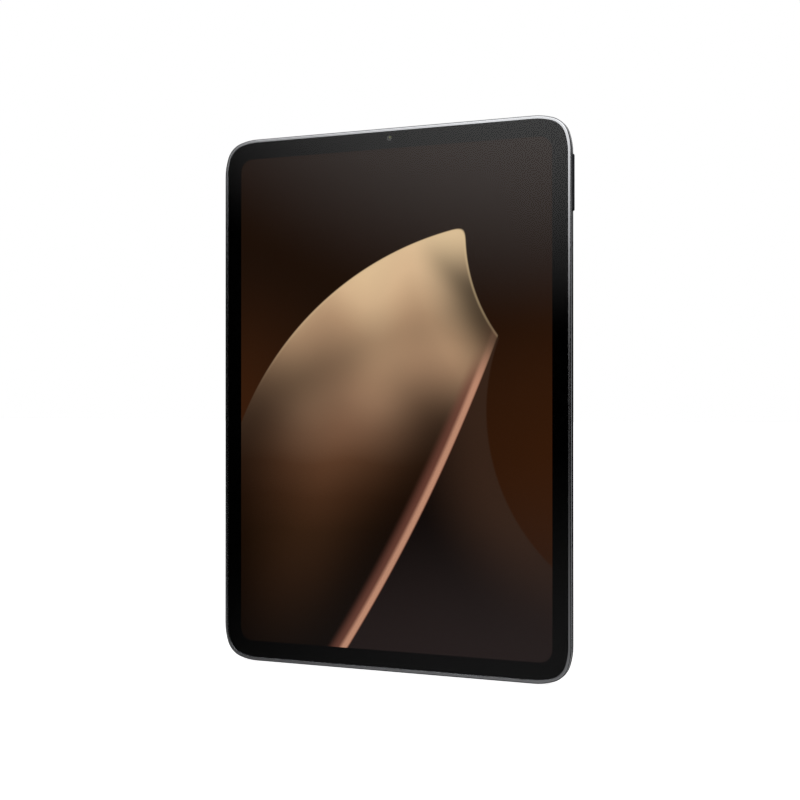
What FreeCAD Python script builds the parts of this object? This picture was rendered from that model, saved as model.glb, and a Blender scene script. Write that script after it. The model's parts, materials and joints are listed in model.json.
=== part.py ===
"""Tablet computer of the 11 inch class, as separate pieces: one STEP file for each in parts/.

Units are millimetres. X is across the width, to the right as the user sees the screen.
Y is the thickness: the screen faces -Y and the back faces +Y, with Y = 0 half way through the body.
Z is up the long side. The origin is on the middle of the bottom edge.
Names ending in _y, _x and _z are places; the other names are sizes or clearances.
"""

import FreeCAD, Part
import math
import os

# ---- body ----
BODY_HEIGHT = 251.0
BODY_WIDTH = 172.0
BODY_THICKNESS = 5.8
CORNER_RADIUS = 10.8  # middle arc of each corner
CORNER_EASE_RADIUS = 29.2  # the wider arcs that lead into it
CORNER_EASE_ANGLE = 18.0  # degrees that each wider arc turns
REAR_EDGE_RADIUS = 3.0
FRONT_EDGE_RADIUS = 0.75
RIM_WIDTH = 1.55  # frame seen round the glass
LEDGE_WIDTH = 1.8  # shelf that the glass is glued to
BACK_WALL = 0.8
PART_GAP = 0.1  # between neighbouring inner pieces
ROUND_END = 0.49  # corner radius of a round-ended plate, as a share of its width

# ---- glass and screen ----
GLASS_THICKNESS = 0.65
GLASS_PROUD = 0.06
GLASS_CLEARANCE = 0.07
GLASS_EDGE_RADIUS = 0.22
PRINT_THICKNESS = 0.03
EDGE_GLUE_THICKNESS = 0.2
EDGE_GLUE_WIDTH = 1.3
SCREEN_BORDER_SIDE = 7.15  # from the glass edge to the picture, long sides
SCREEN_BORDER_END = 7.95  # from the glass edge to the picture, short sides
SCREEN_CORNER_RADIUS = 6.0
SCREEN_MARGIN = 1.3  # blind edge of the display round the picture
OPTICAL_GLUE_THICKNESS = 0.12
CELL_THICKNESS = 0.5
LIGHT_GUIDE_THICKNESS = 0.5
SCREEN_TRAY_THICKNESS = 0.15
SCREEN_TRAY_LIP = 0.25
LED_BAR_HEIGHT = 2.2
LED_BAR_THICKNESS = 0.35

# ---- inside layout ----
MID_PLATE_THICKNESS = 0.4
SIDE_ROOM = 5.0  # kept free beside the boards for the keys
END_ROOM = 30.0  # bottom zone: speakers and the port board
TOP_ROOM = 32.0  # top zone: speakers, cameras and keys
BOARD_HEIGHT = 42.0
BOARD_THICKNESS = 0.7
BATTERY_MIDDLE_GAP = 8.0
BATTERY_SIDE_GAP = 4.6
BATTERY_CORNER_RADIUS = 1.2
BATTERY_CORNER_LIMIT = 0.3  # largest corner radius, as a share of the pouch's thickness
BATTERY_SEAM = 6.0  # top seam of the pouches, under their protection board
POST_RADIUS = 1.5
POSTS_PER_SIDE = 3
SHIELD_CHIP_GAP = 0.2
PROCESSOR_SIZE = 13.0
STORAGE_WIDTH = 11.0
POWER_CHIP_SIZE = 8.0
RADIO_CHIP_WIDTH = 7.0
RADIO_CHIP_HEIGHT = 9.0
FLEX_THICKNESS = 0.2
FLEX_WIDTH = 6.0

# ---- screws ----
SCREW_RADIUS = 0.6
SCREW_CLEARANCE = 0.2
SCREW_THREAD_GAP = 0.04
SCREW_HEAD_RADIUS = 1.2
SCREW_HEAD_HEIGHT = 0.4
SCREW_CROSS = 0.6  # reach of the cross recess from the middle of the head
SCREW_REACH = 0.3  # depth of the thread in the back wall
BOSS_RADIUS = 1.7

# ---- volume rocker, on the +X side ----
ROCKER_LENGTH = 25.0
ROCKER_FROM_TOP = 30.4  # from the top of the body to the middle of the key
KEY_WIDTH = 1.8
KEY_PROUD = 0.55
KEY_EDGE_RADIUS = 0.3
KEY_SLOT_CLEARANCE = 0.12
KEY_EAR = 1.1
KEY_EAR_THICKNESS = 0.7
ROCKER_EAR_GAP = 0.45  # room for the rising end
NUB_HEIGHT = 0.3
NUB_RADIUS = 0.7
DOME_RADIUS = 1.3
DOME_HEIGHT = 0.3
DOME_GAP = 0.4
SWITCH_STRIP_THICKNESS = 0.35
BRACKET_THICKNESS = 0.4
ROCKER_NUB_SPACING = 17.0

# ---- power key, on the top edge ----
POWER_LENGTH = 14.0
POWER_FROM_SIDE = 28.0  # from the +X side of the body to the middle of the key
POWER_PROUD = 0.12
POWER_EAR_GAP = 0.06

# ---- sound ----
SPEAKER_WIDTH = 35.0
SPEAKER_HEIGHT = 19.0
SPEAKER_CORNER_RADIUS = 2.0
CONE_WIDTH = 24.0
CONE_HEIGHT = 11.0
CONE_RISE = 0.2
TOP_SPEAKER_FROM_CAMERA = 8.0  # clear space between a top speaker and the rear camera
BOTTOM_SPEAKER_FROM_SIDE = 31.0  # from the side of the body to the middle of the speaker
SOUND_HOLE_RADIUS = 0.6
SOUND_HOLE_PITCH = 2.1
SOUND_HOLE_COUNT = 10
SOUND_MESH_THICKNESS = 0.15
SOUND_MESH_WIDTH = 1.92
MIC_HOLE_RADIUS = 0.4
MIC_WIDTH = 3.5
MIC_HEIGHT = 2.6
MIC_THICKNESS = 1.0
TOP_MIC_FROM_SIDE = 25.0  # from the -X side of the body
BOTTOM_MIC_X = 15.0

# ---- charging port ----
PORT_WIDTH = 8.94
PORT_HEIGHT = 3.16
PORT_WALL = 0.3
PORT_DEPTH = 7.3
PORT_CLEARANCE = 0.06
PORT_WEB = 0.31  # metal between the glass shelf and the port
PORT_SET_BACK = 0.35
TONGUE_WIDTH = 6.69
TONGUE_THICKNESS = 0.7
TONGUE_SET_BACK = 0.95
TONGUE_BLOCK = 1.6
CONTACTS_PER_FACE = 12
CONTACT_PITCH = 0.5
CONTACT_WIDTH = 0.25
CONTACT_LENGTH = 3.4
CONTACT_THICKNESS = 0.04
PORT_BOARD_WIDTH = 44.0

# ---- front camera and light sensor ----
FRONT_CAMERA_DROP = 3.2  # below the top edge of the glass
FRONT_CAMERA_SIZE = 4.8
FRONT_BARREL_RADIUS = 1.7
FRONT_LENS_RADIUS = 1.15
FRONT_WINDOW_RADIUS = 1.25
FRONT_LENS_DOME = 0.15
FRONT_LENS_DEPTH = 0.9
FRONT_CAMERA_GAP = 0.08
SENSOR_OFFSET_X = 11.0
SENSOR_WIDTH = 2.4

# ---- rear camera ----
ISLAND_WIDTH = 13.6
ISLAND_LENGTH = 27.6
ISLAND_RISE = 1.4
ISLAND_EDGE_RADIUS = 0.5
ISLAND_FROM_SIDE = 17.0
ISLAND_FROM_TOP = 22.0
REAR_CAMERA_SIZE = 10.4
REAR_BARREL_RADIUS = 3.9
LENS_WINDOW_RADIUS = 4.4
LENS_WINDOW_THICKNESS = 0.6
LENS_RING_WIDTH = 0.8
LENS_RING_RISE = 0.25
LENS_RING_CHAMFER = 0.15
REAR_LENS_RADIUS = 1.9
REAR_LENS_DOME = 0.3
REAR_LENS_DEPTH = 0.8
FLASH_RADIUS = 2.1
FLASH_LED_SIZE = 1.6
FLASH_BOARD_HEIGHT = 3.78

# ---- radio and magnets ----
ANTENNA_STRIP_WIDTH = 1.5
ANTENNA_STRIP_LENGTH = 104.0
ANTENNA_STRIP_FROM_END = 5.9
ANTENNA_HEIGHT = 8.0
ANTENNA_FROM_WALL = 3.0
MAGNET_LENGTH = 12.0
MAGNET_WIDTH = 2.6
MAGNET_THICKNESS = 1.6
MAGNETS = 4

# ---- places that follow from the sizes ----
front_y = -BODY_THICKNESS / 2
back_y = BODY_THICKNESS / 2
rim_y = front_y + GLASS_PROUD
side_x = BODY_WIDTH / 2
top_z = BODY_HEIGHT
glass_inset = RIM_WIDTH + GLASS_CLEARANCE
cavity_inset = RIM_WIDTH + LEDGE_WIDTH
glass_back_y = front_y + GLASS_THICKNESS
ledge_y = glass_back_y + EDGE_GLUE_THICKNESS
print_back_y = glass_back_y + PRINT_THICKNESS
cell_front_y = print_back_y + OPTICAL_GLUE_THICKNESS
cell_back_y = cell_front_y + CELL_THICKNESS
guide_back_y = cell_back_y + LIGHT_GUIDE_THICKNESS
tray_back_y = guide_back_y + SCREEN_TRAY_THICKNESS
plate_front_y = tray_back_y + PART_GAP
plate_back_y = plate_front_y + MID_PLATE_THICKNESS
inner_front_y = plate_back_y + PART_GAP
inner_back_y = back_y - BACK_WALL
board_middle_y = (inner_front_y + inner_back_y) / 2
board_front_y = board_middle_y - BOARD_THICKNESS / 2
board_back_y = board_middle_y + BOARD_THICKNESS / 2
shield_front_y = inner_front_y
chip_front_y = shield_front_y + SHIELD_CHIP_GAP
side_line_y = ledge_y + PORT_WEB + PORT_CLEARANCE + PORT_HEIGHT / 2  # keys, port and sound holes
cavity_side_x = side_x - cavity_inset
cavity_top_z = top_z - cavity_inset
board_side_x = cavity_side_x - SIDE_ROOM
board_top_z = top_z - TOP_ROOM
board_bottom_z = board_top_z - BOARD_HEIGHT
battery_top_z = board_bottom_z - 2 * PART_GAP
battery_side_x = board_side_x - BATTERY_SIDE_GAP
post_x = (board_side_x + battery_side_x) / 2
picture_half_width = side_x - glass_inset - SCREEN_BORDER_SIDE
picture_bottom_z = glass_inset + SCREEN_BORDER_END
picture_top_z = top_z - picture_bottom_z
rocker_z = top_z - ROCKER_FROM_TOP
power_x = side_x - POWER_FROM_SIDE
front_camera_z = top_z - glass_inset - FRONT_CAMERA_DROP
island_x = side_x - ISLAND_FROM_SIDE
island_z = top_z - ISLAND_FROM_TOP
lens_z = island_z + (ISLAND_LENGTH - ISLAND_WIDTH) / 2
flash_z = island_z - (ISLAND_LENGTH - ISLAND_WIDTH) / 2
island_top_y = back_y + ISLAND_RISE
rear_barrel_tip_y = island_top_y - LENS_WINDOW_THICKNESS - PART_GAP
rear_lens_seat_y = rear_barrel_tip_y - BACK_WALL
slot_wall_x = side_x - RIM_WIDTH
slot_wall_z = top_z - RIM_WIDTH
rocker_dome_x = slot_wall_x - ROCKER_EAR_GAP - KEY_EAR_THICKNESS - NUB_HEIGHT - DOME_GAP
power_dome_z = slot_wall_z - POWER_EAR_GAP - KEY_EAR_THICKNESS - NUB_HEIGHT - DOME_GAP
power_room = top_z - power_dome_z + DOME_HEIGHT + SWITCH_STRIP_THICKNESS + BRACKET_THICKNESS
top_speaker_x = island_x - REAR_CAMERA_SIZE / 2 - TOP_SPEAKER_FROM_CAMERA - SPEAKER_WIDTH / 2
bottom_speaker_x = side_x - BOTTOM_SPEAKER_FROM_SIDE
top_mic_x = TOP_MIC_FROM_SIDE - side_x


# ---- shape helpers ----
def vec(x, y, z):
    """A point or direction."""
    return FreeCAD.Vector(x, y, z)


def block(x0, x1, y0, y1, z0, z1):
    """Box between two corners."""
    return Part.makeBox(x1 - x0, y1 - y0, z1 - z0, vec(x0, y0, z0))


def disc(x, z, radius, y0, y1):
    """Round bar along Y."""
    return Part.makeCylinder(radius, y1 - y0, vec(x, y0, z), vec(0, 1, 0))


def body_outline(inset, y):
    """Outline of the body, drawn in by inset: straight sides and corners of three arcs."""
    ease = math.radians(CORNER_EASE_ANGLE)
    turns = [0, ease, math.pi / 2 - ease, math.pi / 2]
    radii = [CORNER_EASE_RADIUS - inset, CORNER_RADIUS - inset, CORNER_EASE_RADIUS - inset]
    half = [side_x - inset, top_z / 2 - inset]
    reach = radii[0] * (math.sin(ease) + 1 - math.cos(ease))
    reach = reach + radii[1] * (math.cos(ease) - math.sin(ease))
    edges = []
    first = None
    last = None
    for corner in range(4):
        turn = corner * math.pi / 2
        along = half[corner % 2]
        across = half[(corner + 1) % 2]
        x = along
        z = across - reach
        for number, radius in enumerate(radii):
            heading = [turns[number], turns[number + 1]]
            middle = sum(heading) / 2
            points = []
            for angle in (heading[0], middle, heading[1]):
                dx = radius * (math.cos(angle) - math.cos(heading[0]))
                dz = radius * (math.sin(angle) - math.sin(heading[0]))
                px = (x + dx) * math.cos(turn) - (z + dz) * math.sin(turn)
                pz = (x + dx) * math.sin(turn) + (z + dz) * math.cos(turn)
                points.append(vec(px, y, pz + top_z / 2))
            if number == 0 and last is not None:
                edges.append(Part.makeLine(last, points[0]))
            if first is None:
                first = points[0]
            edges.append(Part.Arc(*points).toShape())
            last = points[2]
            x = x + radius * (math.cos(heading[1]) - math.cos(heading[0]))
            z = z + radius * (math.sin(heading[1]) - math.sin(heading[0]))
    edges.append(Part.makeLine(last, first))
    return Part.Wire(edges)


def body_plate(inset, y0, y1):
    """Slab with the outline of the body."""
    return Part.Face(body_outline(inset, y0)).extrude(vec(0, y1 - y0, 0))


def round_slab(x0, x1, z0, z1, radius, y0, y1):
    """Rectangular slab in the plane of the screen, with four round corners."""
    slab = block(x0, x1, y0, y1, z0, z1)
    return slab.makeFillet(radius, edges_along(slab, 1))


def edges_along(shape, axis):
    """The straight edges that run along one axis (0, 1 or 2)."""
    found = []
    for edge in shape.Edges:
        if len(edge.Vertexes) != 2:
            continue
        step = edge.Vertexes[1].Point - edge.Vertexes[0].Point
        if abs(abs(step[axis]) - step.Length) < 1e-6:
            found.append(edge)
    return found


def edges_on_plane(shape, axis, value):
    """The edges that lie in the plane where one coordinate has this value."""
    found = []
    for edge in shape.Edges:
        box = edge.BoundBox
        low = (box.XMin, box.YMin, box.ZMin)[axis]
        high = (box.XMax, box.YMax, box.ZMax)[axis]
        if abs(low - value) < 1e-5 and abs(high - value) < 1e-5:
            found.append(edge)
    return found


def cap_radius(half_width, rise):
    """Radius of the sphere whose cap is this wide and high."""
    return (half_width * half_width + rise * rise) / (2 * rise)


def pill_along_x(length, width, x0, x1, y, z):
    """Bar along X whose section is long in Z with half round ends."""
    radius = width / 2
    straight = length / 2 - radius
    middle = block(x0, x1, y - radius, y + radius, z - straight, z + straight)
    for end in (-straight, straight):
        round_end = Part.makeCylinder(radius, x1 - x0, vec(x0, y, z + end), vec(1, 0, 0))
        middle = middle.fuse(round_end)
    return middle.removeSplitter()


def pill_along_z(length, width, z0, z1, x, y):
    """Bar along Z whose section is long in X with half round ends."""
    radius = width / 2
    straight = length / 2 - radius
    middle = block(x - straight, x + straight, y - radius, y + radius, z0, z1)
    for end in (-straight, straight):
        middle = middle.fuse(Part.makeCylinder(radius, z1 - z0, vec(x + end, y, z0)))
    return middle.removeSplitter()


def save(name, *solids):
    """One STEP file for a node; several solids make a group."""
    shape = solids[0]
    if len(solids) > 1:
        shape = Part.makeCompound(list(solids))
    shape.exportStep("parts/" + name + ".step")


# ---- where things repeat ----
def speaker_places():
    """(name, middle X, True at the top edge) of each speaker."""
    places = []
    for end, middle, top in (("bottom", bottom_speaker_x, False), ("top", top_speaker_x, True)):
        for side, sign in (("left", -1), ("right", 1)):
            places.append(("speaker_" + end + "_" + side, sign * middle, top))
    return places


def from_end(top, distance):
    """Height of a place that is so far in from the top or bottom edge."""
    return top_z - distance if top else distance


def low_high(a, b):
    """Two heights in rising order."""
    return min(a, b), max(a, b)


def sound_hole_x(middle):
    """X of each hole in one row of sound holes."""
    first = middle - SOUND_HOLE_PITCH * (SOUND_HOLE_COUNT - 1) / 2
    return [first + SOUND_HOLE_PITCH * number for number in range(SOUND_HOLE_COUNT)]


def board_screw_places():
    """(x, z) of the screws of the main board."""
    inset = BOSS_RADIUS + 2 * PART_GAP
    across = board_side_x - inset
    places = []
    for x in (-across, 0, across):
        for z in (board_bottom_z + inset, board_top_z - inset):
            places.append((x, z))
    return places


def port_board_screw_places():
    """(x, z) of the screws of the port board."""
    across = PORT_BOARD_WIDTH / 2 - BOSS_RADIUS - 2 * PART_GAP
    height = END_ROOM - BOSS_RADIUS - 6 * PART_GAP
    return [(-across, height), (across, height)]


def post_places():
    """(x, z) of the posts that carry the mid plate, beside the battery."""
    step = (battery_top_z - END_ROOM) / POSTS_PER_SIDE
    places = []
    for number in range(POSTS_PER_SIDE):
        for sign in (-1, 1):
            places.append((sign * post_x, END_ROOM + step * (number + 0.5)))
    return places


# ---- housing ----
def housing_shell():
    """Tray with a round rear edge, a shelf for the glass and a hollow for the inner pieces."""
    shell = body_plate(0, rim_y, back_y)
    shell = shell.makeFillet(REAR_EDGE_RADIUS, edges_on_plane(shell, 1, back_y))
    shell = shell.makeFillet(FRONT_EDGE_RADIUS, edges_on_plane(shell, 1, rim_y))
    shell = shell.cut(body_plate(RIM_WIDTH, front_y - 1, ledge_y))
    return shell.cut(body_plate(cavity_inset, front_y - 1, inner_back_y))


def rear_housing():
    """The one-piece body: tray, bosses and posts, and every opening through its walls."""
    shell = housing_shell()
    for x, z in board_screw_places() + port_board_screw_places():
        shell = shell.fuse(disc(x, z, BOSS_RADIUS, board_back_y, inner_back_y))
        bore = SCREW_RADIUS + SCREW_THREAD_GAP
        shell = shell.cut(disc(x, z, bore, board_back_y, inner_back_y + SCREW_REACH))
    for x, z in post_places():
        shell = shell.fuse(disc(x, z, POST_RADIUS, plate_back_y, inner_back_y))
    cuts = []
    for name, middle, top in speaker_places():
        z0, z1 = low_high(from_end(top, -1), from_end(top, cavity_inset + 1))
        for x in sound_hole_x(middle):
            cuts.append(Part.makeCylinder(SOUND_HOLE_RADIUS, z1 - z0, vec(x, side_line_y, z0)))
    for x, top in ((top_mic_x, True), (BOTTOM_MIC_X, False)):
        z0, z1 = low_high(from_end(top, -1), from_end(top, cavity_inset + 1))
        cuts.append(Part.makeCylinder(MIC_HOLE_RADIUS, z1 - z0, vec(x, side_line_y, z0)))
    cuts.append(port_bar(PORT_CLEARANCE, -1, PORT_SET_BACK + PORT_DEPTH + PART_GAP))
    cuts.extend(rocker_cuts())
    cuts.extend(power_cuts())
    cuts.extend(camera_cuts())
    cuts.extend(antenna_strips())
    return shell.cut(Part.makeCompound(cuts))


def rocker_cuts():
    """Slot for the volume rocker and the pocket behind it for its ears."""
    grow = 2 * KEY_SLOT_CLEARANCE
    slot = pill_along_x(
        ROCKER_LENGTH + grow, KEY_WIDTH + grow, slot_wall_x - 1, side_x + 1, side_line_y, rocker_z
    )
    half = ROCKER_LENGTH / 2 + KEY_EAR + 3 * KEY_SLOT_CLEARANCE
    deep = DOME_RADIUS + KEY_SLOT_CLEARANCE
    pocket = block(
        cavity_side_x - 1, slot_wall_x, side_line_y - deep, side_line_y + deep,
        rocker_z - half, rocker_z + half,
    )
    return [slot, pocket]


def power_cuts():
    """Slot for the power key and the pocket behind it for its ears."""
    grow = 2 * KEY_SLOT_CLEARANCE
    slot = pill_along_z(
        POWER_LENGTH + grow, KEY_WIDTH + grow, slot_wall_z - 1, top_z + 1, power_x, side_line_y
    )
    half = POWER_LENGTH / 2 + KEY_EAR + 3 * KEY_SLOT_CLEARANCE
    deep = DOME_RADIUS + KEY_SLOT_CLEARANCE
    pocket = block(
        power_x - half, power_x + half, side_line_y - deep, side_line_y + deep,
        cavity_top_z - 1, slot_wall_z,
    )
    return [slot, pocket]


def camera_cuts():
    """Notch in the glass shelf for the front camera, and holes in the back for lens and flash."""
    half = FRONT_CAMERA_SIZE / 2 + PART_GAP
    notch = block(-half, half, ledge_y - 1, inner_back_y, front_camera_z - half, front_camera_z + half)
    lens = disc(island_x, lens_z, REAR_BARREL_RADIUS + PART_GAP, inner_back_y - 1, back_y + 1)
    flash = disc(island_x, flash_z, FLASH_RADIUS + PART_GAP, inner_back_y - 1, back_y + 1)
    return [notch, lens, flash]


def antenna_strips():
    """Plastic strips let into the back wall near both short edges."""
    strips = []
    half = ANTENNA_STRIP_LENGTH / 2
    for top in (False, True):
        z = from_end(top, ANTENNA_STRIP_FROM_END)
        z0 = z - ANTENNA_STRIP_WIDTH / 2
        z1 = z + ANTENNA_STRIP_WIDTH / 2
        radius = ANTENNA_STRIP_WIDTH * ROUND_END
        strips.append(round_slab(-half, half, z0, z1, radius, inner_back_y, back_y))
    return strips


# ---- glass and screen ----
def cover_glass():
    """Cover glass with a softened front edge."""
    glass = body_plate(glass_inset, front_y, glass_back_y)
    return glass.makeFillet(GLASS_EDGE_RADIUS, edges_on_plane(glass, 1, front_y))


def picture_slab(margin, y0, y1):
    """Slab as large as the lit picture and a margin round it."""
    return round_slab(
        -picture_half_width - margin, picture_half_width + margin,
        picture_bottom_z - margin, picture_top_z + margin,
        SCREEN_CORNER_RADIUS + margin, y0, y1,
    )


def border_print():
    """Black print behind the glass: it leaves the picture, the camera and the sensor free."""
    ring = body_plate(glass_inset + GLASS_EDGE_RADIUS, glass_back_y, print_back_y)
    ring = ring.cut(picture_slab(0, glass_back_y - 1, print_back_y + 1))
    return ring.cut(disc(0, front_camera_z, FRONT_WINDOW_RADIUS, glass_back_y - 1, print_back_y + 1))


def edge_glue():
    """Glue frame between the glass and its shelf, open at the front camera."""
    outer = body_plate(glass_inset + PART_GAP, print_back_y, ledge_y)
    ring = outer.cut(body_plate(glass_inset + PART_GAP + EDGE_GLUE_WIDTH, print_back_y - 1, ledge_y + 1))
    half = FRONT_CAMERA_SIZE / 2 + 2 * PART_GAP
    low = front_camera_z - half
    high = front_camera_z + half
    return ring.cut(block(-half, half, print_back_y - 1, ledge_y + 1, low, high))


def optical_glue():
    """Clear glue that joins the display to the glass."""
    sheet = picture_slab(SCREEN_MARGIN, print_back_y, cell_front_y)
    return sheet.fuse(picture_slab(0, glass_back_y, print_back_y)).removeSplitter()


def display_cell():
    """Liquid crystal cell, the layer that shows the picture."""
    return picture_slab(SCREEN_MARGIN, cell_front_y, cell_back_y)


def light_guide():
    """Light guide and its films, short at the bottom to leave room for the lamps."""
    guide = picture_slab(SCREEN_MARGIN - SCREEN_TRAY_LIP - PART_GAP, cell_back_y, guide_back_y)
    return guide.cut(led_room(PART_GAP))


def led_room(clearance):
    """Space of the lamp bar at the bottom of the light guide."""
    half = picture_half_width - SCREEN_CORNER_RADIUS
    low = picture_bottom_z - SCREEN_MARGIN + SCREEN_TRAY_LIP
    return block(
        -half - clearance, half + clearance, cell_back_y - clearance, guide_back_y + clearance,
        low - clearance, low + LED_BAR_HEIGHT + clearance,
    )


def led_bar():
    """Lamp bar of the backlight."""
    room = led_room(-PART_GAP).BoundBox
    return block(
        room.XMin, room.XMax, guide_back_y - LED_BAR_THICKNESS, guide_back_y, room.ZMin, room.ZMax
    )


def screen_tray():
    """Thin metal tray that holds the light guide from behind."""
    tray = picture_slab(SCREEN_MARGIN, cell_back_y, tray_back_y)
    return tray.cut(picture_slab(SCREEN_MARGIN - SCREEN_TRAY_LIP, cell_back_y - 1, guide_back_y))


def mid_plate():
    """Stiffening plate behind the screen, carried by the posts of the housing."""
    low = END_ROOM
    high = board_top_z
    return round_slab(-board_side_x, board_side_x, low, high, 2 * POST_RADIUS, plate_front_y, plate_back_y)


# ---- boards and battery ----
def screw_holes(places, y0, y1):
    """Clearance holes for a set of screws."""
    return Part.makeCompound([disc(x, z, SCREW_RADIUS + SCREW_CLEARANCE, y0, y1) for x, z in places])


def main_board():
    """Main circuit board above the battery."""
    board = round_slab(
        -board_side_x, board_side_x, board_bottom_z, board_top_z, POST_RADIUS, board_front_y, board_back_y
    )
    return board.cut(screw_holes(board_screw_places(), board_front_y - 1, board_back_y + 1))


def shield_places():
    """(x0, x1) of the two shielded areas of the main board."""
    edge = board_side_x - 4 * BOSS_RADIUS
    middle = 3 * BOSS_RADIUS
    return [(-edge, -middle), (middle, edge)]


def shield_cans():
    """Open-bottomed metal lids over the chips."""
    inset = 4 * BOSS_RADIUS
    cans = []
    for x0, x1 in shield_places():
        can = block(
            x0, x1, shield_front_y, board_front_y, board_bottom_z + inset, board_top_z - inset
        )
        hollow = block(
            x0 + PART_GAP, x1 - PART_GAP, shield_front_y + PART_GAP, board_front_y,
            board_bottom_z + inset + PART_GAP, board_top_z - inset - PART_GAP,
        )
        cans.append(can.cut(hollow))
    return cans


def board_chip(shield, share_x, share_z, width, height):
    """One chip under a shield, placed by its share of the shielded area."""
    inset = 4 * BOSS_RADIUS
    x0, x1 = shield_places()[shield]
    x = x0 + (x1 - x0) * share_x
    z = board_bottom_z + inset + (BOARD_HEIGHT - 2 * inset) * share_z
    return block(
        x - width / 2, x + width / 2, chip_front_y, board_front_y,
        z - height / 2, z + height / 2,
    )


def processor():
    """Processor package with the working memory on top."""
    return board_chip(0, 0.6, 0.5, PROCESSOR_SIZE, PROCESSOR_SIZE)


def memory_chips():
    """Storage and power chips."""
    return [
        board_chip(0, 0.2, 0.5, STORAGE_WIDTH, PROCESSOR_SIZE),
        board_chip(1, 0.3, 0.5, POWER_CHIP_SIZE, POWER_CHIP_SIZE),
        board_chip(1, 0.7, 0.5, RADIO_CHIP_WIDTH, RADIO_CHIP_HEIGHT),
    ]


def thermal_sheet():
    """Graphite sheet behind the main board, on the back wall."""
    inset = 4 * BOSS_RADIUS
    return block(
        -board_side_x + inset, -2 * BOSS_RADIUS, inner_back_y - FLEX_THICKNESS, inner_back_y,
        board_bottom_z + inset, board_top_z - inset,
    )


def battery_cell(sign):
    """One of the two battery pouches."""
    near = BATTERY_MIDDLE_GAP / 2
    x0, x1 = low_high(sign * near, sign * battery_side_x)
    back = inner_back_y - PART_GAP
    cell = block(x0, x1, inner_front_y, back, END_ROOM + PART_GAP, battery_top_z - BATTERY_SEAM)
    radius = min(BATTERY_CORNER_RADIUS, (back - inner_front_y) * BATTERY_CORNER_LIMIT)
    return cell.makeFillet(radius, edges_along(cell, 2))


def battery_board():
    """Protection circuit of the battery, on the top seams of both pouches."""
    low = battery_top_z - BATTERY_SEAM + PART_GAP
    return block(
        -battery_side_x / 2, battery_side_x / 2, board_front_y, board_back_y, low, battery_top_z - PART_GAP
    )


def main_ribbon():
    """Ribbon cable between the pouches, from the main board to the port board."""
    half = FLEX_WIDTH / 2
    low = END_ROOM - 4 * BOSS_RADIUS
    high = battery_top_z - BATTERY_SEAM
    return block(-half, half, board_back_y + PART_GAP, board_back_y + PART_GAP + FLEX_THICKNESS, low, high)


def display_ribbon():
    """Ribbon cable from the screen to the main board, across the top end of the mid plate."""
    half = FLEX_WIDTH
    tall = 4 * BOSS_RADIUS
    low = board_top_z + PART_GAP
    flat = block(
        -half, half, tray_back_y + PART_GAP / 2, tray_back_y + PART_GAP / 2 + FLEX_THICKNESS, low, low + tall
    )
    drop = block(
        -half, half, tray_back_y + PART_GAP / 2, board_front_y, low, low + FLEX_THICKNESS
    )
    return flat.fuse(drop).removeSplitter()


def port_board():
    """Small board that carries the port, notched round its shell."""
    half = PORT_BOARD_WIDTH / 2
    low = cavity_inset + 4 * PART_GAP
    high = END_ROOM - 2 * PART_GAP
    board = block(-half, half, board_front_y, board_back_y, low, high)
    notch_half = PORT_WIDTH / 2 + PART_GAP
    notch_top = PORT_SET_BACK + PORT_DEPTH + PART_GAP
    board = board.cut(block(-notch_half, notch_half, board_front_y - 1, board_back_y + 1, low - 1, notch_top))
    mic = mic_can(BOTTOM_MIC_X, False, PART_GAP)
    holes = screw_holes(port_board_screw_places(), board_front_y - 1, board_back_y + 1)
    return board.cut(mic).cut(holes)


# ---- charging port ----
def port_bar(grow, z0, z1):
    """Bar with the outline of the port shell."""
    return pill_along_z(PORT_WIDTH + 2 * grow, PORT_HEIGHT + 2 * grow, z0, z1, 0, side_line_y)


def port_shell():
    """Steel tube of the charging port."""
    z1 = PORT_SET_BACK + PORT_DEPTH
    return port_bar(0, PORT_SET_BACK, z1).cut(port_bar(-PORT_WALL, PORT_SET_BACK - 1, z1 + 1))


def port_tongue():
    """Moulded block at the end of the port, with the tongue that the plug goes over."""
    z1 = PORT_SET_BACK + PORT_DEPTH
    block_z = z1 - TONGUE_BLOCK
    half = TONGUE_WIDTH / 2
    base = port_bar(-PORT_WALL, block_z, z1)
    tongue = block(
        -half, half, side_line_y - TONGUE_THICKNESS / 2, side_line_y + TONGUE_THICKNESS / 2,
        PORT_SET_BACK + TONGUE_SET_BACK, block_z,
    )
    return base.fuse(tongue).removeSplitter()


def port_contacts():
    """Gilded strips on both faces of the tongue."""
    strips = []
    low = PORT_SET_BACK + TONGUE_SET_BACK + 3 * PART_GAP
    for number in range(CONTACTS_PER_FACE):
        x = (number - (CONTACTS_PER_FACE - 1) / 2) * CONTACT_PITCH
        for sign in (-1, 1):
            face = side_line_y + sign * TONGUE_THICKNESS / 2
            y0, y1 = low_high(face, face + sign * CONTACT_THICKNESS)
            x0 = x - CONTACT_WIDTH / 2
            strips.append(block(x0, x0 + CONTACT_WIDTH, y0, y1, low, low + CONTACT_LENGTH))
    return strips


# ---- sound ----
def speaker(middle, top):
    """Speaker box with an oval cone on its front."""
    gap = power_room + PART_GAP
    z0, z1 = low_high(from_end(top, gap), from_end(top, gap + SPEAKER_HEIGHT))
    x0 = middle - SPEAKER_WIDTH / 2
    x1 = middle + SPEAKER_WIDTH / 2
    front = inner_front_y + CONE_RISE
    box = round_slab(x0, x1, z0, z1, SPEAKER_CORNER_RADIUS, front, inner_back_y - PART_GAP)
    middle_z = (z0 + z1) / 2
    cone = round_slab(
        middle - CONE_WIDTH / 2, middle + CONE_WIDTH / 2,
        middle_z - CONE_HEIGHT / 2, middle_z + CONE_HEIGHT / 2,
        CONE_HEIGHT * ROUND_END, front - CONE_RISE, front,
    )
    return box.fuse(cone)


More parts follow.
